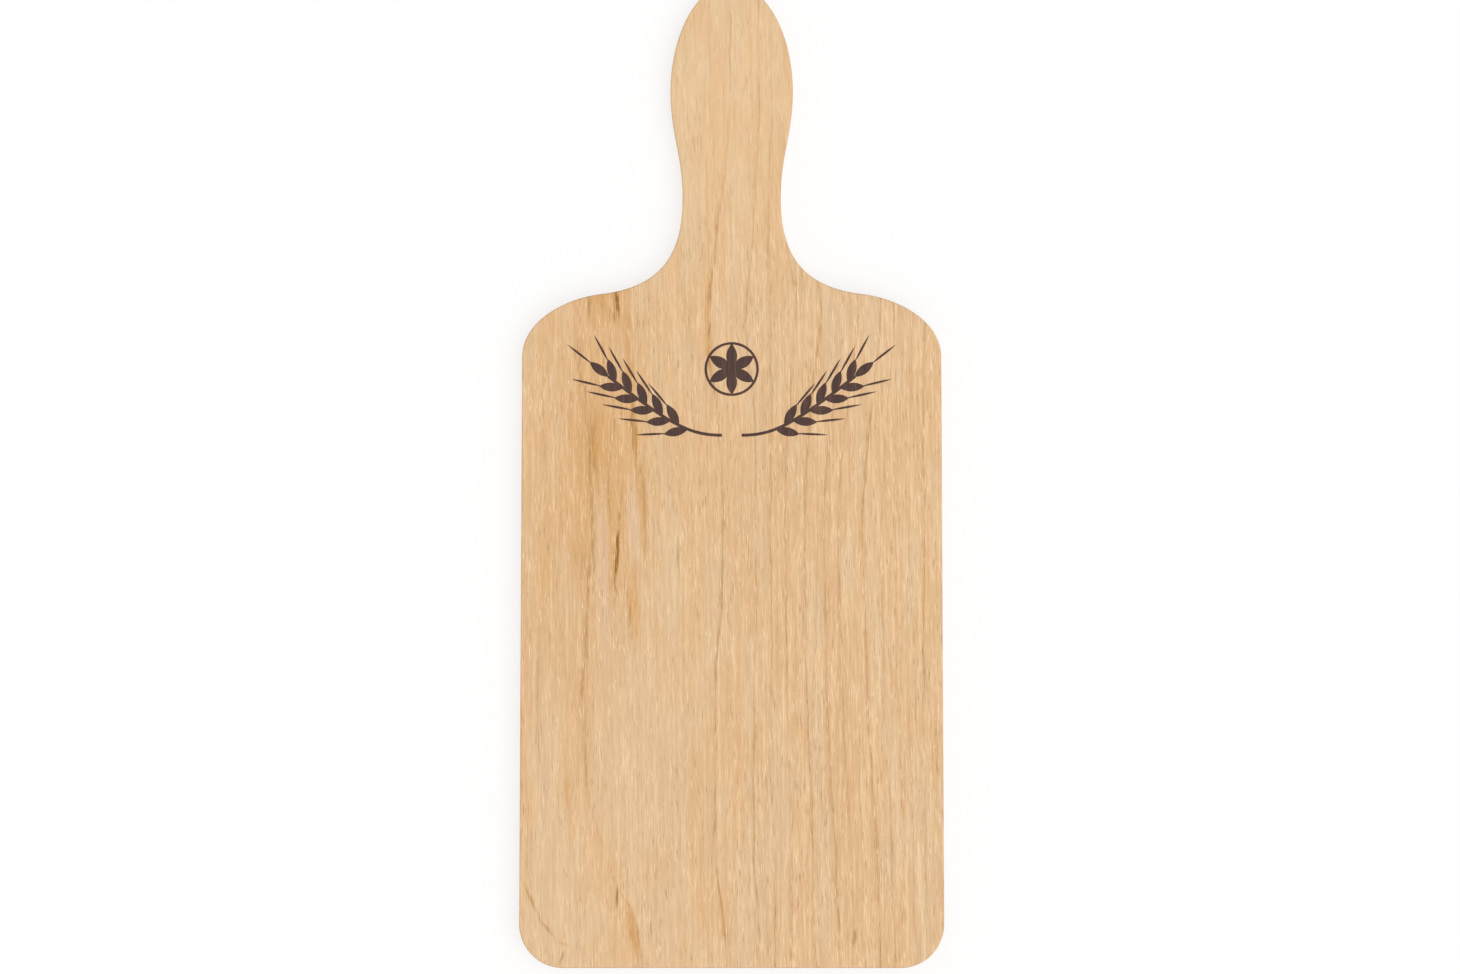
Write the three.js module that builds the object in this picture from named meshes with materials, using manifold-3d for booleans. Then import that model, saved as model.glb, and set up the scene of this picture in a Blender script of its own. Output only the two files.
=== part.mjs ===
// A wooden spaetzle board: one plank with its handle in one piece, and a printed ornament on its face.
// Millimetres, +Z up. The board lies on z = 0 with its front edge towards -Y and its handle towards +Y.
// The origin is under the middle of the board.
import * as THREE from 'three';
import { mergeVertices } from 'three/addons/utils/BufferGeometryUtils.js';
import Module from 'manifold-3d';

// The plank
const BOARD_LENGTH = 400;
const BLADE_WIDTH = 170;
const BOARD_THICKNESS = 10;
const FRONT_CORNER_RADIUS = 17.5;
const EDGE_EASING = 0.8;

// The handle, from its tip down to the neck
const TIP_TO_BELLY = 45;
const BELLY_TO_NECK = 44.3;
const NECK_WIDTH = 40;
const BELLY_SWELL = 5;

// The shoulder: its crest is where the hollow throat turns into the round shoulder
const NECK_TO_CREST = 39;
const CREST_TO_SIDE = 31.5;
const SHOULDER_DROP = 25.7;
const CREST_SLOPE = THREE.MathUtils.degToRad(6.8);

// How far each curve of the flank follows its tangent before it bends away
const BELLY_PULL = 16;
const NECK_PULL_UP = 20;
const NECK_PULL_DOWN = 26;
const THROAT_PULL = 22;
const SHOULDER_PULL = 13;
const SIDE_PULL = 15.5;

// The front edge is thinned from below to a lip
const LIP_THICKNESS = 4;
const LIP_BEVEL_RUN = 30;

// The printed ornament: two ears of grain that rise from the middle, and a rosette between them
const INK_THICKNESS = 0.1;
const SHOULDER_TO_ORNAMENT = 32;
const EAR_ROOT_GAP = 4;
const EAR_TO_SIDE = 35;
const EAR_RISE = 24;
const EAR_ROOT_PULL = 13;
const EAR_TIP_PULL = 32;
const EAR_TIP_HEADING = THREE.MathUtils.degToRad(38);
const STEM_WIDTH = 1.2;
const BARE_STEM = 14;
const GRAIN_PAIRS = 5;
const GRAIN_LENGTH = 10;
const GRAIN_WIDTH = 3.6;
const GRAIN_TILT = THREE.MathUtils.degToRad(33);
const AWN_ROOT = 1.5;
const AWN_LENGTH = 13;
const AWN_WIDTH = 0.9;
const AWN_TILT = THREE.MathUtils.degToRad(24);
const ROSETTE_RISE = 27;
const ROSETTE_RADIUS = 11;
const ROSETTE_RING_WIDTH = 1;
const ROSETTE_PETALS = 6;
const PETAL_WIDTH = 4.4;
const HUB_RADIUS = 1.4;

// How far two shapes that are joined reach into each other, and how far a block reaches past its cut
const JOIN_OVERLAP = 0.4;
const OVERCUT = 5;

// How finely curves are divided
const OUTLINE_STEPS = 24;
const EASING_STEPS = 3;
const STEM_STEPS = 24;
const GRAIN_STEPS = 7;
const RING_STEPS = 24;

const WOOD_FINISH = { color: 0xe2bd92, roughness: 0.6, metalness: 0 };
const INK_FINISH = { color: 0x584038, roughness: 0.7, metalness: 0 };

const frontY = -BOARD_LENGTH / 2;
const creaseY = frontY + LIP_BEVEL_RUN;
const bellyY = BOARD_LENGTH / 2 - TIP_TO_BELLY;
const neckY = bellyY - BELLY_TO_NECK;
const crestY = neckY - NECK_TO_CREST;
const sideTopY = crestY - SHOULDER_DROP;
const ornamentY = sideTopY - SHOULDER_TO_ORNAMENT;
const halfBlade = BLADE_WIDTH / 2;
const halfNeck = NECK_WIDTH / 2;
const halfBelly = halfNeck + BELLY_SWELL;

const wasm = await Module();
wasm.setup();

const point = (x, y) => new THREE.Vector2(x, y);
const polar = (angle, radius) => point(Math.cos(angle), Math.sin(angle)).multiplyScalar(radius);

function solidOf(geometry) {
  geometry.deleteAttribute('normal');
  geometry.deleteAttribute('uv');
  const merged = mergeVertices(geometry);
  const vertProperties = new Float32Array(merged.attributes.position.array);
  const triVerts = new Uint32Array(merged.index.array);
  return new wasm.Manifold(new wasm.Mesh({ numProp: 3, vertProperties, triVerts }));
}

function geometryOf(solid) {
  const mesh = solid.getMesh();
  const geometry = new THREE.BufferGeometry();
  geometry.setAttribute('position', new THREE.BufferAttribute(mesh.vertProperties, 3));
  geometry.setIndex(new THREE.BufferAttribute(mesh.triVerts, 1));
  geometry.computeVertexNormals();
  return geometry;
}

function namedMesh(name, solid, finish) {
  const mesh = new THREE.Mesh(geometryOf(solid), new THREE.MeshStandardMaterial(finish));
  mesh.name = name;
  return mesh;
}

// The right flank, from the blade's straight side up to the belly of the handle
function flankCurves() {
  const side = point(halfBlade, sideTopY);
  const crest = point(halfBlade - CREST_TO_SIDE, crestY);
  const neck = point(halfNeck, neckY);
  const belly = point(halfBelly, bellyY);
  const up = point(0, 1);
  const outward = polar(-CREST_SLOPE, 1);
  const along = (from, direction, pull) => from.clone().addScaledVector(direction, pull);
  const curve = (...controls) => new THREE.CubicBezierCurve(...controls);
  return [
    curve(side, along(side, up, SIDE_PULL), along(crest, outward, SHOULDER_PULL), crest),
    curve(crest, along(crest, outward, -THROAT_PULL), along(neck, up, -NECK_PULL_DOWN), neck),
    curve(neck, along(neck, up, NECK_PULL_UP), along(belly, up, -BELLY_PULL), belly),
  ];
}

// The plank from above, anticlockwise from the left end of the front edge
function boardOutline() {
  const flank = flankCurves();
  const cornerX = halfBlade - FRONT_CORNER_RADIUS;
  const cornerY = frontY + FRONT_CORNER_RADIUS;
  const outline = new THREE.Shape();
  outline.moveTo(-cornerX, frontY);
  outline.lineTo(cornerX, frontY);
  outline.absarc(cornerX, cornerY, FRONT_CORNER_RADIUS, -Math.PI / 2, 0);
  outline.lineTo(halfBlade, sideTopY);
  for (const { v1, v2, v3 } of flank) {
    outline.bezierCurveTo(v1.x, v1.y, v2.x, v2.y, v3.x, v3.y);
  }
  outline.absellipse(0, bellyY, halfBelly, TIP_TO_BELLY, 0, Math.PI);
  for (const { v0, v1, v2 } of flank.toReversed()) {
    outline.bezierCurveTo(-v2.x, v2.y, -v1.x, v1.y, -v0.x, v0.y);
  }
  outline.lineTo(-halfBlade, cornerY);
  outline.absarc(-cornerX, cornerY, FRONT_CORNER_RADIUS, Math.PI, 1.5 * Math.PI);
  return outline;
}

// A block that holds all of the board that lies in front of the crease of the lip
function frontBlock() {
  const width = BLADE_WIDTH + 2 * OVERCUT;
  const depth = LIP_BEVEL_RUN + OVERCUT;
  const block = new THREE.BoxGeometry(width, depth, BOARD_THICKNESS + 2 * OVERCUT);
  block.translate(0, creaseY - depth / 2, BOARD_THICKNESS / 2);
  return solidOf(block);
}

// The underside rises in a straight slope from the crease to the lip, and its eased edge goes with it
function planedToLip(front) {
  const geometry = geometryOf(front);
  const position = geometry.getAttribute('position');
  const slope = (BOARD_THICKNESS - LIP_THICKNESS) / LIP_BEVEL_RUN;
  for (let corner = 0; corner < position.count; corner += 1) {
    const height = position.getZ(corner);
    if (height < BOARD_THICKNESS / 2) {
      position.setZ(corner, height + slope * (creaseY - position.getY(corner)));
    }
  }
  return solidOf(geometry);
}

function plank() {
  const blank = new THREE.ExtrudeGeometry(boardOutline(), {
    depth: BOARD_THICKNESS - 2 * EDGE_EASING,
    curveSegments: OUTLINE_STEPS,
    bevelThickness: EDGE_EASING,
    bevelSize: EDGE_EASING,
    bevelOffset: -EDGE_EASING,
    bevelSegments: EASING_STEPS,
  });
  blank.translate(0, 0, EDGE_EASING);
  const whole = solidOf(blank);
  const front = whole.intersect(frontBlock());
  return whole.subtract(frontBlock()).add(planedToLip(front));
}

function inkFilm(shape, curveSegments) {
  const film = { depth: INK_THICKNESS, bevelEnabled: false, curveSegments };
  return solidOf(new THREE.ExtrudeGeometry(shape, film));
}

const joined = (solids) => solids.reduce((whole, solid) => whole.add(solid));

// A pointed oval that runs from foot along heading
function grain(foot, heading, length, width) {
  const end = foot.clone().add(polar(heading, length));
  const middle = foot.clone().lerp(end, 0.5);
  const bulge = polar(heading + Math.PI / 2, width);
  const oval = new THREE.Shape();
  oval.moveTo(foot.x, foot.y);
  oval.quadraticCurveTo(middle.x - bulge.x, middle.y - bulge.y, end.x, end.y);
  oval.quadraticCurveTo(middle.x + bulge.x, middle.y + bulge.y, foot.x, foot.y);
  return inkFilm(oval, GRAIN_STEPS);
}

// The stem of an ear, drawn as a band along its curve
function stem(curve) {
  const edge = (sign) => Array.from({ length: STEM_STEPS + 1 }, (_, step) => {
    const along = step / STEM_STEPS;
    const tangent = curve.getTangentAt(along);
    const normal = point(-tangent.y, tangent.x);
    return curve.getPointAt(along).addScaledVector(normal, sign * STEM_WIDTH / 2);
  });
  return inkFilm(new THREE.Shape([...edge(-1), ...edge(1).reverse()]), STEM_STEPS);
}

// One ear of grain. side is 1 for the right ear and -1 for the left
function ear(side) {
  const root = point(side * EAR_ROOT_GAP, 0);
  const tip = point(side * (halfBlade - EAR_TO_SIDE), EAR_RISE);
  const leave = point(root.x + side * EAR_ROOT_PULL, root.y);
  const bend = polar(EAR_TIP_HEADING, EAR_TIP_PULL);
  const arrive = point(tip.x - side * bend.x, tip.y - bend.y);
  const curve = new THREE.CubicBezierCurve(root, leave, arrive, tip);
  const length = curve.getLength();
  const spacing = (length - BARE_STEM) / GRAIN_PAIRS;
  const pieces = [stem(curve)];
  // A grain leaves the stem at its tilt and carries an awn, which lies closer to the stem, on its point
  const addGrain = (distance, tilt, awnTilt) => {
    const foot = curve.getPointAt(distance / length);
    const heading = curve.getTangentAt(distance / length).angle();
    const awnFoot = foot.clone().add(polar(heading + tilt, GRAIN_LENGTH - AWN_ROOT));
    pieces.push(grain(foot, heading + tilt, GRAIN_LENGTH, GRAIN_WIDTH));
    pieces.push(grain(awnFoot, heading + awnTilt, AWN_LENGTH, AWN_WIDTH));
  };
  for (let pair = 0; pair < GRAIN_PAIRS; pair += 1) {
    const distance = BARE_STEM + pair * spacing;
    addGrain(distance, -side * GRAIN_TILT, -side * AWN_TILT);
    addGrain(distance + spacing / 2, side * GRAIN_TILT, side * AWN_TILT);
  }
  addGrain(length - JOIN_OVERLAP, 0, 0);
  return joined(pieces);
}

// A ring with petals that run from its hub to its inner edge
function rosette() {
  const ring = new THREE.Shape();
  ring.absarc(0, 0, ROSETTE_RADIUS, 0, 2 * Math.PI);
  const bore = new THREE.Path();
  bore.absarc(0, 0, ROSETTE_RADIUS - ROSETTE_RING_WIDTH, 0, 2 * Math.PI);
  ring.holes.push(bore);
  const hub = new THREE.Shape();
  hub.absarc(0, 0, HUB_RADIUS, 0, 2 * Math.PI);
  const pieces = [inkFilm(ring, RING_STEPS), inkFilm(hub, GRAIN_STEPS)];
  const petalLength = ROSETTE_RADIUS - ROSETTE_RING_WIDTH + JOIN_OVERLAP;
  for (let petal = 0; petal < ROSETTE_PETALS; petal += 1) {
    const heading = Math.PI / 2 + 2 * Math.PI * petal / ROSETTE_PETALS;
    pieces.push(grain(point(0, 0), heading, petalLength, PETAL_WIDTH));
  }
  return joined(pieces);
}

const spaetzleBoard = new THREE.Group();
spaetzleBoard.add(namedMesh('board', plank(), WOOD_FINISH));

const ornament = new THREE.Group();
ornament.position.set(0, ornamentY, BOARD_THICKNESS);
ornament.add(namedMesh('printed_ear_left', ear(-1), INK_FINISH));
ornament.add(namedMesh('printed_ear_right', ear(1), INK_FINISH));
const printedRosette = namedMesh('printed_rosette', rosette(), INK_FINISH);
printedRosette.position.y = ROSETTE_RISE;
ornament.add(printedRosette);
spaetzleBoard.add(ornament);

export default spaetzleBoard;
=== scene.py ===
"""Dresses the imported spaetzle board: figured wood, printed ornament, pale studio and camera."""

from collections import namedtuple
from math import cos, hypot, pi, radians, sin

import bmesh
import bpy
from mathutils import Color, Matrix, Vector


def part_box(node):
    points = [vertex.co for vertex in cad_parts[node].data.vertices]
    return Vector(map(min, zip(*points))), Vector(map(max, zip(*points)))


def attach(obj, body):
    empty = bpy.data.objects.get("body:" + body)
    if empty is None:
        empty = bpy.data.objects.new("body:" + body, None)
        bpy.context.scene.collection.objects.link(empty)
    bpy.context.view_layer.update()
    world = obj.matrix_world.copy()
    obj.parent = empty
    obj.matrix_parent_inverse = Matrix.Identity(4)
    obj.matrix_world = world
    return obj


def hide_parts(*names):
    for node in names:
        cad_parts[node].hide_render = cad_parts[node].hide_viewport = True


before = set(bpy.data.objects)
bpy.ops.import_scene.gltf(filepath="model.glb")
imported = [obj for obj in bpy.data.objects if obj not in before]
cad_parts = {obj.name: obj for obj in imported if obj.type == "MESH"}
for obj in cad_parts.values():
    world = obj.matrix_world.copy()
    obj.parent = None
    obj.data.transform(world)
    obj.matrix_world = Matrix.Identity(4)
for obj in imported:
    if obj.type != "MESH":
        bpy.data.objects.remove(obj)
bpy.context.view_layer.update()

bl_info = {
    "name": "Spaetzle Board",
    "version": (1, 0, 0),
    "blender": (4, 5, 0),
    "location": "3D View > Sidebar > Spaetzle Board",
    "description": "Gives the packed board its figured wood and its print, and sets up the studio",
    "category": "Object",
}

MM = 0.001
BOARD_LOW, BOARD_HIGH = (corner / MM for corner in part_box("board"))
PRINTED = ("printed_ear_left", "printed_ear_right", "printed_rosette")

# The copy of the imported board: how close vertices are joined, at what bend faces still count as one plane,
# and how large a face is that counts as broad.
MERGE_DISTANCE = 0.001 * MM
PLANE_BEND = radians(0.05)
BROAD_AREA = 1000 * MM * MM

WHITE = (1.0, 1.0, 1.0)
# How far the floor lies below the board, and how much of its look is plain white that takes no shadow.
FLOOR_GAP = 0.2 * MM
FLOOR_GLOW = 0.7

# What follows, down to the settings, is in millimetres in the frame of the board.

# What becomes of a value: from low to high it goes from first to last, and it stays there beyond.
Span = namedtuple("Span", "low high first last", defaults=(0.0, 1.0))

# A noise drawn out along the board: the width and length of its streaks, its seed, how detailed and rough
# it is, and by what share of its length each streak starts beyond its neighbour.
Grain = namedtuple("Grain", "width length seed detail roughness stagger", defaults=(2.0, 0.5, 0.0))
# How far a noise is moved for each step of its seed, in streaks.
SEED_STEP = (17.3, 5.1, 9.7)
# Fibres and dashes are staggered, so that they don't line up in rows across the board.
STAGGER = 0.27

# The growth rings lie around the pith, which is to the left of the board and below its face.
PITH_X = -150.0
PITH_DEPTH = 125.0
# A growth ring: where it would come up on the face if it didn't drift, how dark it is, and the width over
# which it darkens before its line.
Ring = namedtuple("Ring", "x darkness darkening")
RINGS = (
    Ring(-59.0, 0.75, 3.0),
    Ring(-5.5, 0.9, 2.0),
    Ring(9.3, 0.8, 1.5),
    Ring(15.6, 0.6, 1.5),
    Ring(22.0, 0.5, 1.5),
    Ring(29.6, 0.85, 1.5),
    Ring(37.5, 0.6, 1.5),
    Ring(43.3, 0.6, 1.5),
    Ring(53.4, 0.8, 1.5),
    Ring(60.6, 0.6, 1.5),
    Ring(66.3, 0.35, 1.5),
    Ring(71.2, 0.35, 1.5),
    Ring(77.2, 0.6, 1.5),
)
# How dark a ring gets before its line, and over how many times its own width the line sets in.
BAND_DARKNESS = 0.35
LINE_ONSET = 1.5
# Places where the lines break off, and longer ones where whole rings fade.
LINE_BREAKS = Grain(1.5, 7.0, seed=12, detail=3.0, roughness=0.6)
LINE_BREAKS_SPAN = Span(0.38, 0.62, 0.1, 0.6)
RING_FADE = Grain(4.0, 30.0, seed=3, detail=3.0, roughness=0.6)
RING_FADE_SPAN = Span(0.35, 0.65, 0.5, 1.4)
# The rings waver in long waves and fray along the fibres.
WAVES = Grain(30.0, 60.0, seed=1, detail=1.0)
WAVES_SPAN = Span(0.0, 1.0, -2.0, 2.0)
FRAYS = Grain(1.2, 10.0, seed=2)
FRAYS_SPAN = Span(0.0, 1.0, -0.8, 0.8)

# How far rings drift to the right along the board, as points (y, shift), and the share of it that holds
# across the board, as spans of x that are multiplied.
Drift = namedtuple("Drift", "reaches points")
LARGEST_DRIFT = 40.0
MIDDLE_DRIFT = Drift(
    reaches=(Span(-3.0, 21.0, 1.0, 0.0),),
    points=(
        (-200.0, 4.0), (-186.0, 3.0), (-177.0, 2.2), (-166.0, -0.3), (-157.0, -1.5), (-140.0, -1.3),
        (-116.0, -0.2), (-76.0, 0.0), (-56.0, 1.1), (-35.0, 1.6), (-5.0, 1.6), (19.0, 0.6),
        (32.0, -1.2), (44.0, -3.6), (56.0, -4.1), (68.0, -3.7), (82.0, -2.0), (100.0, -0.5),
        (116.0, 1.5), (133.0, 3.6), (149.0, 5.2), (200.0, 6.3),
    ),
)
# The left side drifts with the middle and also swings out towards the front.
LEFT_DRIFT = Drift(
    reaches=(Span(-67.5, -5.0, 1.0, 0.0),),
    points=(
        (-200.0, 39.0), (-185.0, 35.0), (-167.0, 21.3), (-149.0, 11.5), (-137.0, 6.0), (-119.0, 1.4),
        (-92.0, -1.0), (-70.0, 0.0), (200.0, 0.0),
    ),
)
# On the right side, the rings drift out towards the front and the shoulder, and hardly at the very edge.
RIGHT_DRIFT = Drift(
    reaches=(Span(10.0, 43.0), Span(58.0, 78.0, 1.0, 0.15)),
    points=(
        (-200.0, 6.4), (-177.0, 5.7), (-137.0, 3.7), (-96.0, 1.8), (-56.0, 0.3), (-35.0, -0.2),
        (-15.0, 0.0), (7.0, 1.0), (32.0, 3.6), (68.0, 8.0), (85.0, 4.0), (105.0, 0.0), (200.0, 0.0),
    ),
)

# How much a part of the figure stands out on the left side and in the handle. It is 1 on the right side.
Boldness = namedtuple("Boldness", "left handle")
RING_BOLDNESS = Boldness(1.0, 0.55)
FIBRE_BOLDNESS = Boldness(0.7, 0.68)
DASH_BOLDNESS = Boldness(0.9, 0.6)
# Where the left side goes over into the right, and the blade into the handle.
LEFT_X, RIGHT_X = -60.0, 50.0
BLADE_Y, HANDLE_Y = 60.0, 130.0

# How much strips of wood and single fibres each do to the tone, and the tones between which fibres go
# from the colour of even wood to light or to dark.
STRIP_WEIGHT = 0.8
FIBRE_WEIGHT = 0.6
LIGHT_TONES = Span(0.0, 0.45)
DARK_TONES = Span(0.0, -0.7)

# Short dashes: how high their noise is where they set in, and the seeds of that noise and of their crowds.
Dashes = namedtuple("Dashes", "start seed crowd_seed")
PORES = Dashes(0.765, seed=8, crowd_seed=28)
PALE_DASHES = Dashes(0.745, seed=11, crowd_seed=31)
# How much higher the noise is where a dash is whole, and how large crowds are and how much they add to it.
DASH_ONSET = 0.13
CROWD_WIDTH, CROWD_LENGTH = 5.0, 16.0
CROWD_WEIGHT = 0.3
# How strongly pores and pale dashes are coloured.
PORE_STRENGTH = 0.55
PALE_DASH_STRENGTH = 0.75
# How deep a pore is, where the tone of the fibres is their height.
PORE_DEPTH = 0.6

# Sallow patches in rosy wood.
PATCHES = Grain(8.0, 50.0, seed=9, detail=3.0)
PATCHES_SPAN = Span(0.4, 0.68)

# How squarely a surface cuts across the fibres where it begins to show end grain and where it shows it all.
END_GRAIN_SPAN = Span(0.55, 0.97)

# How rough the surface is by the tone of its fibres, and how strongly it shines.
WOOD_ROUGHNESS = Span(-0.4, 0.4, 0.68, 0.54)
INK_ROUGHNESS = Span(-0.4, 0.4, 0.72, 0.6)
SHINE = 0.3

# The tones of fibre between which ink goes from full to thin, and how much thinner it is in a pore.
THIN_INK_SPAN = Span(-0.1, 0.5)
INK_PORE_STRENGTH = 0.3

# A stain in the face: its middle, half its width and length, its turn in degrees, and how strong it is.
Stain = namedtuple("Stain", "x y half_width half_length turn strength")
# Stains of one kind: how ragged they are, and along what grain.
Stains = namedtuple("Stains", "raggedness grain marks")
# How deep stains go into the wood.
STAIN_DEPTH = 7.0
STAIN_GRAIN = Grain(1.0, 12.0, seed=4, detail=3.0, roughness=0.6)
FINE_STAIN_GRAIN = STAIN_GRAIN._replace(width=0.6, length=7.0)
# The noise at which the edge of a stain is furthest in and furthest out.
EDGE_IN, EDGE_OUT = 0.2, 0.8
# Broad zones, towards the right side and in the handle, where the face is paler.
PALER_RIGHT_AND_HANDLE = Stains(raggedness=0.25, grain=STAIN_GRAIN, marks=(
    Stain(0.0, 150.0, 70.0, 110.0, 0.0, 0.8),
    Stain(72.0, -20.0, 40.0, 150.0, 0.0, 0.4),
))
SALLOW_STAINS = Stains(raggedness=0.3, grain=STAIN_GRAIN, marks=(
    Stain(-36.0, -112.0, 34.0, 95.0, 6.0, 1.0),
    Stain(-72.0, -175.0, 24.0, 55.0, 10.0, 0.8),
    Stain(-62.0, -184.0, 18.0, 28.0, 0.0, 0.9),
    Stain(-28.0, -176.0, 16.0, 40.0, 0.0, 0.7),
    Stain(-18.0, 158.0, 13.0, 42.0, 0.0, 1.2),
    Stain(-2.0, 190.0, 15.0, 20.0, 0.0, 0.9),
    Stain(52.0, 62.0, 44.0, 30.0, 0.0, 0.7),
))
ROSY_STAINS = Stains(raggedness=0.5, grain=STAIN_GRAIN, marks=(
    Stain(-61.0, -98.0, 8.0, 80.0, 0.0, 1.0),
    Stain(-52.0, -162.0, 9.0, 36.0, 16.0, 1.4),
    Stain(-43.0, -190.0, 10.0, 26.0, 10.0, 1.2),
    Stain(-11.0, -143.0, 11.0, 75.0, 0.0, 0.8),
))
# Where the line of a growth ring is all but lost, and what of it is kept there.
FADED_RINGS = Stains(raggedness=0.3, grain=STAIN_GRAIN, marks=(
    Stain(-48.0, -151.0, 20.0, 42.0, 20.0, 1.5),
))
FADED_RINGS_SPAN = Span(0.0, 1.0, 1.0, 0.35)
GOLDEN_CLOUDS = Stains(raggedness=0.5, grain=STAIN_GRAIN, marks=(
    Stain(-54.0, 4.0, 34.0, 100.0, 0.0, 0.48),
    Stain(-52.0, 72.0, 12.0, 24.0, 0.0, 0.7),
    Stain(-72.0, -40.0, 16.0, 90.0, 0.0, 0.25),
))
ASHEN_STAINS = Stains(raggedness=0.4, grain=STAIN_GRAIN, marks=(
    Stain(-52.0, -42.0, 5.5, 50.0, 0.0, 0.7),
    Stain(-39.8, -22.0, 3.8, 26.0, 3.0, 1.0),
))
GOLDEN_STREAKS = Stains(raggedness=0.5, grain=STAIN_GRAIN, marks=(
    Stain(-49.0, -14.0, 2.6, 24.0, 3.0, 0.6),
    Stain(-36.0, -12.0, 3.0, 38.0, 2.8, 0.55),
    Stain(-39.5, -54.0, 3.8, 26.0, 4.5, 0.85),
    Stain(-47.0, -33.0, 3.6, 27.0, -2.0, 0.8),
    Stain(-54.5, 9.0, 6.0, 20.0, 0.0, 0.8),
    Stain(-39.2, 14.0, 3.0, 15.0, 3.0, 1.0),
    Stain(-41.5, 40.0, 2.6, 40.0, 4.0, 0.7),
    Stain(-47.6, 62.5, 3.6, 5.0, 0.0, 1.0),
    Stain(-39.6, -185.0, 3.0, 16.0, 10.0, 0.9),
    Stain(-80.8, -171.4, 1.4, 12.0, 25.0, 0.5),
    Stain(-73.9, -184.0, 1.4, 7.0, 39.0, 0.5),
    Stain(-67.7, -190.3, 1.4, 5.0, 72.0, 0.5),
    Stain(-66.4, -128.0, 1.8, 9.0, 0.0, 0.5),
    Stain(-9.2, 60.0, 1.9, 34.0, 0.0, 1.0),
))
BROWN_STAINS = Stains(raggedness=1.1, grain=FINE_STAIN_GRAIN, marks=(
    Stain(-46.1, -33.5, 1.25, 22.0, -3.6, 1.15),
    Stain(-49.8, -10.0, 0.8, 13.0, 2.0, 0.35),
    Stain(-55.7, -30.0, 0.8, 20.0, 0.0, 0.4),
    Stain(-58.0, -68.0, 0.8, 22.0, 0.0, 0.35),
    Stain(-58.7, -104.0, 0.8, 26.0, 1.5, 0.35),
    Stain(-78.0, -93.0, 1.3, 26.0, 0.0, 0.25),
    Stain(-41.3, -56.0, 0.9, 16.0, 4.5, 0.35),
    Stain(-35.4, -14.0, 0.8, 32.0, 2.4, 0.3),
    Stain(-21.5, -35.0, 0.9, 9.0, 0.0, 0.35),
    Stain(-46.9, 69.0, 1.7, 9.0, 0.0, 1.15),
    Stain(-47.8, 63.0, 2.8, 4.0, 0.0, 0.5),
    Stain(-58.0, 67.5, 0.9, 6.0, 0.0, 0.45),
    Stain(-56.0, 9.0, 1.6, 14.0, 0.0, 0.35),
    Stain(-39.4, 14.0, 1.5, 13.0, 3.0, 0.55),
    Stain(-45.5, -172.5, 1.0, 4.5, 3.0, 0.8),
    Stain(-6.7, -141.5, 0.9, 16.0, 0.0, 0.35),
    Stain(-80.6, -171.9, 0.7, 11.0, 25.0, 0.4),
    Stain(-73.7, -184.5, 0.7, 6.0, 39.0, 0.4),
    Stain(-68.0, -196.0, 0.8, 5.0, -20.0, 0.5),
    Stain(49.3, -187.5, 1.2, 5.0, 0.0, 0.5),
    Stain(-8.7, 70.5, 0.9, 5.0, 0.0, 0.45),
    Stain(-8.9, 57.0, 0.9, 7.0, 0.0, 0.4),
))


def linear(screen_colour):
    """A colour given as 0xRRGGBB on the screen, as Blender's linear light."""
    shares = [channel / 255 for channel in screen_colour.to_bytes(3, "big")]
    return tuple(Color(shares).from_srgb_to_scene_linear())


def colour(name, description, screen_colour):
    """A colour setting with its default given as 0xRRGGBB."""
    return bpy.props.FloatVectorProperty(
        name=name, description=description, subtype="COLOR", min=0.0, max=1.0, default=linear(screen_colour)
    )


def length(name, description, default):
    """A length setting, in metres."""
    return bpy.props.FloatProperty(
        name=name, description=description, subtype="DISTANCE", unit="LENGTH", min=0.0, default=default
    )


def coordinate(name, description, default):
    """A setting for a place along one axis of the frame, in metres."""
    return bpy.props.FloatProperty(
        name=name, description=description, subtype="DISTANCE", unit="LENGTH", default=default
    )


def angle(name, description, degrees):
    """An angle setting with its default given in degrees."""
    return bpy.props.FloatProperty(
        name=name, description=description, subtype="ANGLE", unit="ROTATION", default=radians(degrees)
    )


def share(name, description, default):
    """A setting from 0 to 1."""
    return bpy.props.FloatProperty(
        name=name, description=description, subtype="FACTOR", min=0.0, max=1.0, default=default
    )


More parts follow.
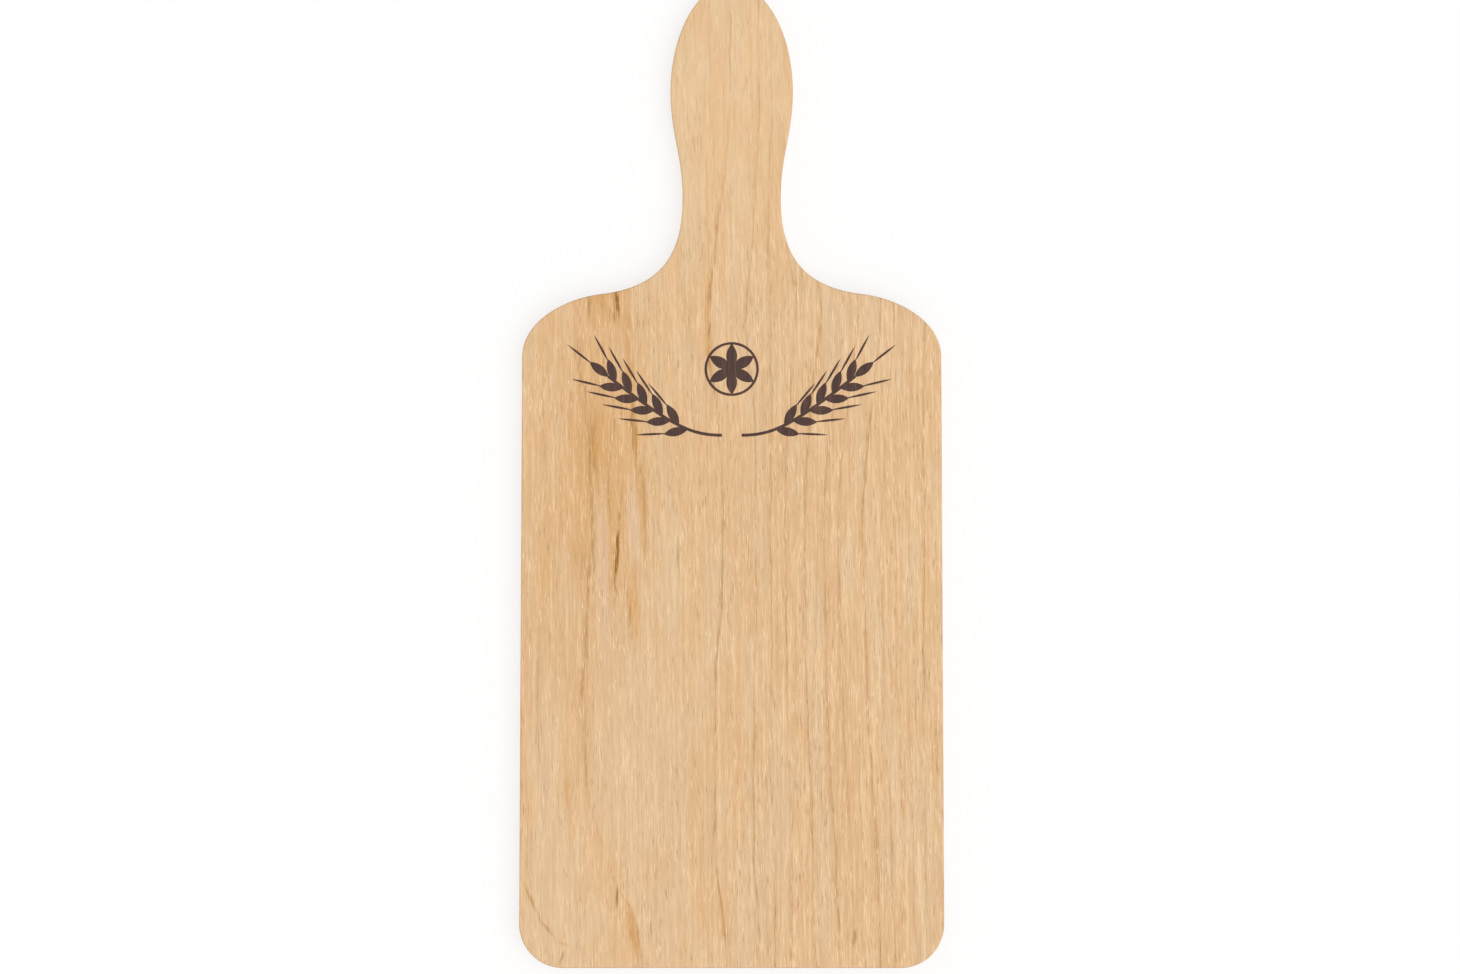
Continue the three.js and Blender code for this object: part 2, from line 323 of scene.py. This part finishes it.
class WoodSettings(bpy.types.PropertyGroup):
    """Colours and sizes of the wood."""

    rosy: colour("Rosy wood", "Colour of the rosier patches", 0xE0B687)
    sallow: colour("Sallow wood", "Colour of the yellower patches", 0xE0BD93)
    # Where the face is paler, towards the right side and in the handle, it takes these two colours.
    rosy_paler: colour("Rosy paler wood", "Colour of the rosier patches in the palest wood", 0xE7BF90)
    sallow_paler: colour("Sallow paler wood", "Colour of the yellower patches in the palest wood", 0xE8C69A)
    light_fibre: colour("Light fibre", "Colour of the pale fibres", 0xFDDAAE)
    dark_fibre: colour("Dark fibre", "Colour of the dark fibres", 0xC2996B)
    late_wood: colour("Late wood", "Colour of the dark line that ends a growth ring", 0xBC8A52)
    pore: colour("Pore", "Colour of the open pores", 0xA87F50)
    golden: colour("Golden stain", "Colour of the golden stains", 0xD39D5A)
    ashen: colour("Ashen stain", "Colour of the ashen stains", 0xE0BC9C)
    brown: colour("Brown stain", "Colour of the darkest stains", 0x966525)
    end_grain: colour("End grain", "Tint of wood that is cut across its fibres", 0xDCC0A0)
    ring_line_width: length("Ring line width", "Width of the line that ends a ring", 0.0005)
    strip_width: length("Strip width", "Width of a strip of paler or darker wood", 0.0013)
    strip_length: length("Strip length", "Length of a strip of paler or darker wood", 0.036)
    fibre_width: length("Fibre width", "Width of one fibre", 0.0006)
    fibre_length: length("Fibre length", "Length of one fibre", 0.007)
    dash_width: length("Dash width", "Width of an open pore or a pale dash", 0.00045)
    pore_length: length("Pore length", "Length of an open pore", 0.0064)
    pale_dash_length: length("Pale dash length", "Length of a pale dash between the fibres", 0.00576)
    relief: length("Relief", "Depth of the fibres and pores in the face", 0.00006)
    crease_angle: angle("Crease angle", "Bend between broad faces that keeps a crisp line", 5)


class InkSettings(bpy.types.PropertyGroup):
    """Colours of the print."""

    full: colour("Full ink", "Colour where the ink lies thick", 0x46302A)
    thin: colour("Thin ink", "Colour where pale fibres show through the ink", 0x6C4F41)


class StageSettings(bpy.types.PropertyGroup):
    """The floor, the light and the camera."""

    floor_colour: colour("Floor", "Colour of the floor", 0xFFFFFF)
    floor_size: length("Floor size", "Half the width of the floor", 6.0)
    sky_light: share("Sky light", "Share of the light that comes evenly from all sides", 0.62)
    lamp_tilt: angle("Lamp tilt", "How far the lamp leans from upright", 24)
    lamp_turn: angle("Lamp turn", "Where the lamp stands around the board", 50)
    lamp_spread: angle("Lamp spread", "Size of the lamp as the board sees it", 60)
    camera_distance: length("Camera distance", "From the camera to the face of the board", 1.6)
    camera_tilt: angle("Camera tilt", "How far the camera leans from upright", 5.6)
    camera_lens: bpy.props.FloatProperty(
        name="Camera lens",
        description="Focal length on a 36 mm film, in millimetres",
        subtype="DISTANCE_CAMERA",
        default=97.65,
    )
    view_x: coordinate("View X", "Middle of the picture, across the board", -0.00068)
    view_y: coordinate("View Y", "Middle of the picture, along the board", -0.00703)


class Bench:
    """Lays nodes into a material or a world and joins them."""

    def __init__(self, owner):
        owner.use_nodes = True
        self.tree = owner.node_tree
        self.tree.nodes.clear()

    def feed(self, socket, value):
        """Joins an input to another node's socket, or sets it to a value."""
        if isinstance(value, bpy.types.NodeSocket):
            self.tree.links.new(value, socket)
        elif socket.type == "RGBA":
            socket.default_value = (*value, 1.0)
        else:
            socket.default_value = value

    def node(self, kind, inputs=None, **settings):
        """A new node, with its inputs by name or number."""
        made = self.tree.nodes.new("ShaderNode" + kind)
        for name, value in settings.items():
            setattr(made, name, value)
        for name, value in (inputs or {}).items():
            self.feed(made.inputs[name], value)
        return made

    def math(self, operation, *values):
        """What a Math node makes of these values."""
        return self.node("Math", dict(enumerate(values)), operation=operation).outputs[0]

    def fit(self, value, span, curve="LINEAR"):
        """What becomes of a value by a span, in even steps."""
        names = ("Value", "From Min", "From Max", "To Min", "To Max")
        return self.node("MapRange", dict(zip(names, (value, *span))), interpolation_type=curve).outputs[0]

    def ease(self, value, span):
        """What becomes of a value by a span, with a gentle start and end."""
        return self.fit(value, span, "SMOOTHSTEP")

    def mix(self, amount, first, second, blend="MIX"):
        """The first colour, and as much of the second as amount says."""
        made = self.node("Mix", data_type="RGBA", blend_type=blend, clamp_factor=True)
        sockets = {socket.identifier: socket for socket in (*made.inputs, *made.outputs)}
        self.feed(sockets["Factor_Float"], amount)
        self.feed(sockets["A_Color"], first)
        self.feed(sockets["B_Color"], second)
        return sockets["Result_Color"]

    def along_board(self, y, points):
        """A smooth curve through points that are given as (y, shift)."""
        made = self.node("FloatCurve", {"Value": self.fit(y, Span(BOARD_LOW.y, BOARD_HIGH.y))})
        curve = made.mapping.curves[0]
        board_length = BOARD_HIGH.y - BOARD_LOW.y
        spots = [
            ((at - BOARD_LOW.y) / board_length, (shift + LARGEST_DRIFT) / (2 * LARGEST_DRIFT))
            for at, shift in points
        ]
        curve.points[0].location = spots[0]
        curve.points[1].location = spots[-1]
        for spot in spots[1:-1]:
            curve.points.new(*spot)
        made.mapping.update()
        return self.fit(made.outputs[0], Span(0.0, 1.0, -LARGEST_DRIFT, LARGEST_DRIFT))

    def grain(self, place, kind):
        """A noise from 0 to 1 in streaks along the board."""
        if kind.stagger:
            x, y, z = self.node("SeparateXYZ", {0: place}).outputs
            slant = kind.stagger * kind.length / kind.width
            y = self.math("MULTIPLY_ADD", self.math("ADD", x, z), slant, y)
            place = self.node("CombineXYZ", {0: x, 1: y, 2: z}).outputs[0]
        inputs = {
            "Vector": place,
            "Location": [kind.seed * step for step in SEED_STEP],
            "Scale": (1 / kind.width, 1 / kind.length, 1 / kind.width),
        }
        streaked = self.node("Mapping", inputs).outputs[0]
        inputs = {"Vector": streaked, "Scale": 1.0, "Detail": kind.detail, "Roughness": kind.roughness}
        return self.node("TexNoise", inputs).outputs[0]

    def seen(self):
        """1 for rays that show a thing, straight or in gloss or glass, and 0 for those that light others."""
        rays = self.node("LightPath").outputs
        straight_or_glossy = self.math("MAXIMUM", rays["Is Camera Ray"], rays["Is Glossy Ray"])
        return self.math("MAXIMUM", straight_or_glossy, rays["Is Transmission Ray"])


class WoodFigure:
    """The figure of the wood, for the wood itself and for the ink on it."""

    def __init__(self, bench, settings):
        self.bench = bench
        self.settings = settings
        position = bench.node("TexCoord").outputs["Object"]
        scaled = bench.node("VectorMath", {0: position, "Scale": 1 / MM}, operation="SCALE")
        self.place = scaled.outputs[0]
        self.x, self.y, self.z = bench.node("SeparateXYZ", {0: self.place}).outputs
        self.tone = self.fibre_tone()
        self.pores = self.dashes(PORES, settings.pore_length)

    def boldness(self, kind):
        """How much a part of the figure stands out at a place."""
        bench = self.bench
        across = bench.fit(self.x, Span(LEFT_X, RIGHT_X, kind.left, 1.0))
        along = bench.ease(self.y, Span(BLADE_Y, HANDLE_Y, 1.0, kind.handle))
        return bench.math("MULTIPLY", across, along)

    def fibre_tone(self):
        """How pale the fibres of a place are: 0 is even wood, and darker fibres are below it."""
        bench = self.bench
        sizes = self.settings
        strip = Grain(sizes.strip_width / MM, sizes.strip_length / MM, seed=5, stagger=STAGGER)
        fibre = Grain(sizes.fibre_width / MM, sizes.fibre_length / MM, seed=6, detail=1.0, stagger=STAGGER)
        middle = (STRIP_WEIGHT + FIBRE_WEIGHT) / 2
        tone = bench.math("MULTIPLY_ADD", bench.grain(self.place, strip), STRIP_WEIGHT, -middle)
        tone = bench.math("MULTIPLY_ADD", bench.grain(self.place, fibre), FIBRE_WEIGHT, tone)
        return bench.math("MULTIPLY", tone, self.boldness(FIBRE_BOLDNESS))

    def dashes(self, kind, dash_length):
        """Short dashes that stand together in crowds, from 0 to 1."""
        bench = self.bench
        fine = Grain(self.settings.dash_width / MM, dash_length / MM, kind.seed, stagger=STAGGER)
        crowd = Grain(CROWD_WIDTH, CROWD_LENGTH, kind.crowd_seed, detail=1.0)
        crowded = bench.math(
            "MULTIPLY_ADD", bench.grain(self.place, crowd), CROWD_WEIGHT, bench.grain(self.place, fine)
        )
        dash = bench.ease(crowded, Span(kind.start, kind.start + DASH_ONSET))
        return bench.math("MULTIPLY", dash, self.boldness(DASH_BOLDNESS))

    def undrifted_x(self):
        """x with the drift, the waves and the frays of the rings taken out."""
        bench = self.bench
        undrifted = self.x
        for drift in (MIDDLE_DRIFT, LEFT_DRIFT, RIGHT_DRIFT):
            shift = bench.along_board(self.y, drift.points)
            for reach in drift.reaches:
                shift = bench.math("MULTIPLY", shift, bench.fit(self.x, reach))
            undrifted = bench.math("SUBTRACT", undrifted, shift)
        for noise, span in ((WAVES, WAVES_SPAN), (FRAYS, FRAYS_SPAN)):
            undrifted = bench.math("ADD", undrifted, bench.fit(bench.grain(self.place, noise), span))
        return undrifted

    def radius(self):
        """The distance from the pith."""
        bench = self.bench
        across = bench.math("SUBTRACT", self.undrifted_x(), PITH_X)
        above = bench.math("ADD", self.z, PITH_DEPTH - BOARD_HIGH.z)
        squares = bench.math("MULTIPLY_ADD", across, across, bench.math("MULTIPLY", above, above))
        return bench.math("SQRT", squares)

    def late_wood(self):
        """How dark the growth rings are: each darkens outwards and ends in a thin, broken line."""
        bench = self.bench
        line = self.settings.ring_line_width / MM
        radius = self.radius()
        broken = bench.ease(bench.grain(self.place, LINE_BREAKS), LINE_BREAKS_SPAN)
        total = 0.0
        for ring in RINGS:
            end = hypot(ring.x - PITH_X, PITH_DEPTH)
            band = bench.fit(radius, Span(end - ring.darkening, end))
            edge = bench.math("MULTIPLY", bench.ease(radius, Span(end - LINE_ONSET * line, end)), broken)
            fall = bench.ease(radius, Span(end, end + line, ring.darkness, 0.0))
            dark = bench.math("MULTIPLY_ADD", bench.math("MULTIPLY", band, band), BAND_DARKNESS, edge)
            total = bench.math("MULTIPLY_ADD", dark, fall, total)
        fade = bench.ease(bench.grain(self.place, RING_FADE), RING_FADE_SPAN)
        kept = bench.ease(self.stains(FADED_RINGS), FADED_RINGS_SPAN)
        for weakening in (fade, kept, self.boldness(RING_BOLDNESS)):
            total = bench.math("MULTIPLY", total, weakening)
        return total

    def stains(self, kind):
        """How strongly any stain of this kind colours a place."""
        bench = self.bench
        raggedness = Span(EDGE_IN, EDGE_OUT, -kind.raggedness, kind.raggedness)
        edge = bench.fit(bench.grain(self.place, kind.grain), raggedness)
        total = 0.0
        for mark in kind.marks:
            inputs = {
                "Vector": self.place,
                "Location": (mark.x, mark.y, BOARD_HIGH.z),
                "Rotation": (0.0, 0.0, radians(mark.turn)),
                "Scale": (mark.half_width, mark.half_length, STAIN_DEPTH),
            }
            inside = bench.node("Mapping", inputs, vector_type="TEXTURE")
            far = bench.node("VectorMath", {0: inside.outputs[0]}, operation="LENGTH").outputs["Value"]
            strength = bench.ease(bench.math("ADD", far, edge), Span(1.0, 0.0, 0.0, mark.strength))
            total = bench.math("MAXIMUM", total, strength)
        return total

    def lay_surface(self, shade, roughness):
        """Ends a material of this colour, with the relief and the gloss that the fibres and pores give."""
        bench = self.bench
        height = bench.math("MULTIPLY_ADD", self.pores, -PORE_DEPTH, self.tone)
        bump = bench.node("Bump", {"Strength": 1.0, "Distance": self.settings.relief, "Height": height})
        inputs = {
            "Base Color": shade,
            "Roughness": bench.ease(self.tone, roughness),
            "Normal": bump.outputs[0],
            "Specular IOR Level": SHINE,
        }
        surface = bench.node("BsdfPrincipled", inputs)
        bench.node("OutputMaterial", {"Surface": surface.outputs[0]})


def wood_material(settings):
    """Pale figured wood: patches, growth rings, fibres and stains that run through the whole plank."""
    material = bpy.data.materials.new("figured_wood")
    bench = Bench(material)
    figure = WoodFigure(bench, settings)

    patch = bench.ease(bench.grain(figure.place, PATCHES), PATCHES_SPAN)
    patch = bench.math("ADD", patch, figure.stains(SALLOW_STAINS))
    patch = bench.math("SUBTRACT", patch, figure.stains(ROSY_STAINS))
    common = bench.mix(patch, settings.rosy, settings.sallow)
    palest = bench.mix(patch, settings.rosy_paler, settings.sallow_paler)
    # The face is paler towards the right side and in the handle.
    shade = bench.mix(figure.stains(PALER_RIGHT_AND_HANDLE), common, palest)

    pale_dashes = figure.dashes(PALE_DASHES, settings.pale_dash_length)
    layers = (
        (figure.stains(GOLDEN_CLOUDS), settings.golden),
        (figure.stains(ASHEN_STAINS), settings.ashen),
        (figure.stains(GOLDEN_STREAKS), settings.golden),
        (figure.late_wood(), settings.late_wood),
        (bench.fit(figure.tone, LIGHT_TONES), settings.light_fibre),
        (bench.fit(figure.tone, DARK_TONES), settings.dark_fibre),
        (bench.math("MULTIPLY", pale_dashes, PALE_DASH_STRENGTH), settings.light_fibre),
        (bench.math("MULTIPLY", figure.pores, PORE_STRENGTH), settings.pore),
        (figure.stains(BROWN_STAINS), settings.brown),
    )
    for amount, layer_colour in layers:
        shade = bench.mix(amount, shade, layer_colour)

    facing = bench.node("SeparateXYZ", {0: bench.node("TexCoord").outputs["Normal"]}).outputs["Y"]
    cut_across = bench.ease(bench.math("ABSOLUTE", facing), END_GRAIN_SPAN)
    shade = bench.mix(cut_across, shade, settings.end_grain, blend="MULTIPLY")
    figure.lay_surface(shade, WOOD_ROUGHNESS)
    return material


def ink_material(settings, wood):
    """Dark ink that has sunk into the fibres and lets the palest of them show."""
    material = bpy.data.materials.new("sunk_ink")
    bench = Bench(material)
    figure = WoodFigure(bench, wood)
    shade = bench.mix(bench.ease(figure.tone, THIN_INK_SPAN), settings.full, settings.thin)
    shade = bench.mix(bench.math("MULTIPLY", figure.pores, INK_PORE_STRENGTH), shade, settings.thin)
    figure.lay_surface(shade, INK_ROUGHNESS)
    return material


def floor_material(settings):
    """A pale floor that is white to the eye and still takes the shadow of the board."""
    material = bpy.data.materials.new("pale_floor")
    bench = Bench(material)
    shaded = bench.node("BsdfDiffuse", {"Color": settings.floor_colour})
    white = bench.node("Emission", {"Color": WHITE, "Strength": 1.0})
    glow = bench.math("MULTIPLY", bench.seen(), FLOOR_GLOW)
    mixed = bench.node("MixShader", {0: glow, 1: shaded.outputs[0], 2: white.outputs[0]})
    bench.node("OutputMaterial", {"Surface": mixed.outputs[0]})
    return material


def studio_world(settings):
    """Even light from all sides, behind which the camera sees plain white."""
    world = bpy.data.worlds.new("studio")
    bench = Bench(world)
    sky = bench.node("Background", {"Color": WHITE, "Strength": settings.sky_light})
    white = bench.node("Background", {"Color": WHITE, "Strength": 1.0})
    mixed = bench.node("MixShader", {0: bench.seen(), 1: sky.outputs[0], 2: white.outputs[0]})
    bench.node("OutputWorld", {"Surface": mixed.outputs[0]})
    return world


def smooth_copy(node, name, crease_angle):
    """A merged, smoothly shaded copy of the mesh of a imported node, which is loose triangles."""
    work = bmesh.new()
    work.from_mesh(node.data)
    bmesh.ops.remove_doubles(work, verts=work.verts, dist=MERGE_DISTANCE)
    bmesh.ops.dissolve_limit(work, angle_limit=PLANE_BEND, verts=work.verts, edges=work.edges)
    if any(not edge.is_manifold for edge in work.edges):
        raise RuntimeError("the merged copy of " + node.name + " is not closed")
    for face in work.faces:
        face.smooth = True
    for edge in work.edges:
        broad = [face for face in edge.link_faces if face.calc_area() > BROAD_AREA]
        edge.smooth = len(broad) < 2 or edge.calc_face_angle() < crease_angle
    mesh = bpy.data.meshes.new(name)
    work.to_mesh(mesh)
    work.free()
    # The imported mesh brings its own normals, which would keep the merged faces from being smooth.
    if "custom_normal" in mesh.attributes:
        mesh.attributes.remove(mesh.attributes["custom_normal"])
    return mesh


def show(name, data):
    """A new object in the scene, at the origin."""
    made = bpy.data.objects.new(name, data)
    bpy.context.scene.collection.objects.link(made)
    return made


class SPAETZLE_OT_make_board(bpy.types.Operator):
    """Makes the plank: a merged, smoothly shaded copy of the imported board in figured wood"""

    bl_idname = "spaetzle.make_board"
    bl_label = "Make Board"

    def execute(self, context):
        settings = context.scene.spaetzle_wood
        mesh = smooth_copy(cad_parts["board"], "board_wood", settings.crease_angle)
        mesh.materials.append(wood_material(settings))
        board = show("board_wood", mesh)
        normals = board.modifiers.new("even_shading", "WEIGHTED_NORMAL")
        normals.keep_sharp = True
        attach(board, "root")
        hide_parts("board")
        return {"FINISHED"}


class SPAETZLE_OT_make_print(bpy.types.Operator):
    """Inks the printed ornament"""

    bl_idname = "spaetzle.make_print"
    bl_label = "Make Print"

    def execute(self, context):
        ink = ink_material(context.scene.spaetzle_ink, context.scene.spaetzle_wood)
        for name in PRINTED:
            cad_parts[name].material_slots[0].material = ink
        return {"FINISHED"}


class SPAETZLE_OT_make_stage(bpy.types.Operator):
    """Lays the floor, lights it and sets the camera"""

    bl_idname = "spaetzle.make_stage"
    bl_label = "Make Stage"

    def execute(self, context):
        settings = context.scene.spaetzle_stage
        self.lay_floor(settings)
        self.hang_lamp(settings)
        context.scene.world = studio_world(settings)
        context.scene.camera = self.set_camera(settings)
        context.scene.view_settings.view_transform = "Standard"
        return {"FINISHED"}

    def lay_floor(self, settings):
        """Lays the floor just below the board."""
        work = bmesh.new()
        bmesh.ops.create_grid(work, x_segments=1, y_segments=1, size=settings.floor_size)
        bmesh.ops.translate(work, verts=work.verts, vec=(0.0, 0.0, BOARD_LOW.z * MM - FLOOR_GAP))
        mesh = bpy.data.meshes.new("floor")
        work.to_mesh(mesh)
        work.free()
        mesh.materials.append(floor_material(settings))
        show("floor", mesh)

    def hang_lamp(self, settings):
        """Hangs a lamp that gives the face what the sky leaves to a plain level of light."""
        lamp = bpy.data.lights.new("lamp", "SUN")
        lamp.angle = settings.lamp_spread
        lamp.energy = pi * (1.0 - settings.sky_light) / cos(settings.lamp_tilt)
        hung = show("lamp", lamp)
        hung.rotation_euler = (settings.lamp_tilt, 0.0, settings.lamp_turn)

    def set_camera(self, settings):
        """A camera above the face that leans back from upright."""
        camera = bpy.data.cameras.new("camera")
        camera.lens = settings.camera_lens
        stand = show("camera", camera)
        middle = Vector((settings.view_x, settings.view_y, BOARD_HIGH.z * MM))
        back = Vector((0.0, -sin(settings.camera_tilt), cos(settings.camera_tilt)))
        stand.location = middle + settings.camera_distance * back
        stand.rotation_euler = (settings.camera_tilt, 0.0, 0.0)
        return stand


class SPAETZLE_PT_panel(bpy.types.Panel):
    """Lists the makers and their settings"""

    bl_label = "Spaetzle Board"
    bl_idname = "SPAETZLE_PT_panel"
    bl_space_type = "VIEW_3D"
    bl_region_type = "UI"
    bl_category = "Spaetzle Board"

    def draw(self, context):
        makers = (
            (SPAETZLE_OT_make_board, context.scene.spaetzle_wood),
            (SPAETZLE_OT_make_print, context.scene.spaetzle_ink),
            (SPAETZLE_OT_make_stage, context.scene.spaetzle_stage),
        )
        for maker, settings in makers:
            box = self.layout.box()
            box.operator(maker.bl_idname)
            for name in settings.__annotations__:
                box.prop(settings, name)


CLASSES = (
    WoodSettings,
    InkSettings,
    StageSettings,
    SPAETZLE_OT_make_board,
    SPAETZLE_OT_make_print,
    SPAETZLE_OT_make_stage,
    SPAETZLE_PT_panel,
)


def register():
    for item in CLASSES:
        bpy.utils.register_class(item)
    bpy.types.Scene.spaetzle_wood = bpy.props.PointerProperty(type=WoodSettings)
    bpy.types.Scene.spaetzle_ink = bpy.props.PointerProperty(type=InkSettings)
    bpy.types.Scene.spaetzle_stage = bpy.props.PointerProperty(type=StageSettings)


def unregister():
    del bpy.types.Scene.spaetzle_stage
    del bpy.types.Scene.spaetzle_ink
    del bpy.types.Scene.spaetzle_wood
    for item in reversed(CLASSES):
        bpy.utils.unregister_class(item)


def main():
    register()
    bpy.ops.spaetzle.make_board()
    bpy.ops.spaetzle.make_print()
    bpy.ops.spaetzle.make_stage()


if __name__ == "__main__":
    main()
